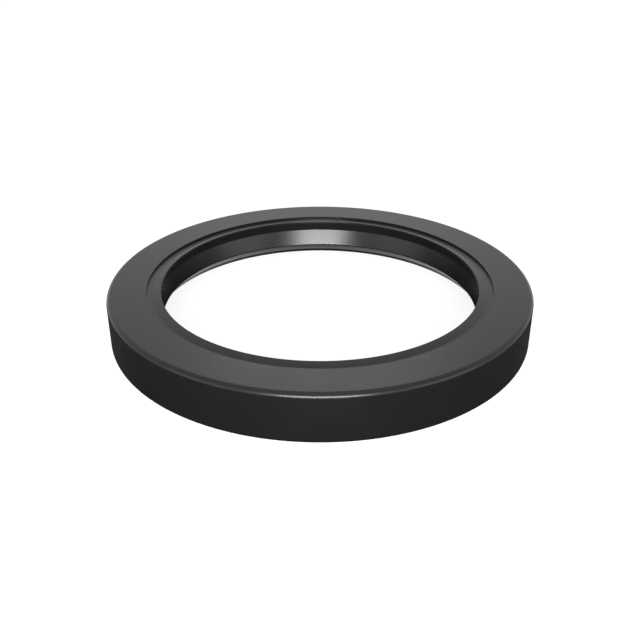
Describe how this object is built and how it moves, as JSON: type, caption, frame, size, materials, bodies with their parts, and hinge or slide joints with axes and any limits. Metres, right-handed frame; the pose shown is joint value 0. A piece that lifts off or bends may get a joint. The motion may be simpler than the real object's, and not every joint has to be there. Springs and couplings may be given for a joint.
{
  "type": "oil seal",
  "caption": "Rubber-covered rotary shaft oil seal: flat ring with a recessed back face, a dust lip and a spring-loaded main lip round the shaft opening.",
  "frame": {"origin": "centre of the rim's plane on the oil side, on the shaft axis", "axes": "+Z along the shaft axis, from the oil side to the back face; X and Y lie in the plane of the rim"},
  "size_m": [0.06, 0.06, 0.007],
  "materials": {
    "seal_rubber": "smooth moulded black rubber with a satin sheen",
    "case_steel": "phosphated pressed steel, dull grey",
    "spring_steel": "drawn spring wire, satin"
  },
  "bodies": {
    "root": {"seal_body": "seal_rubber", "steel_case": "case_steel", "garter_spring": "spring_steel"}
  },
  "joints": []
}
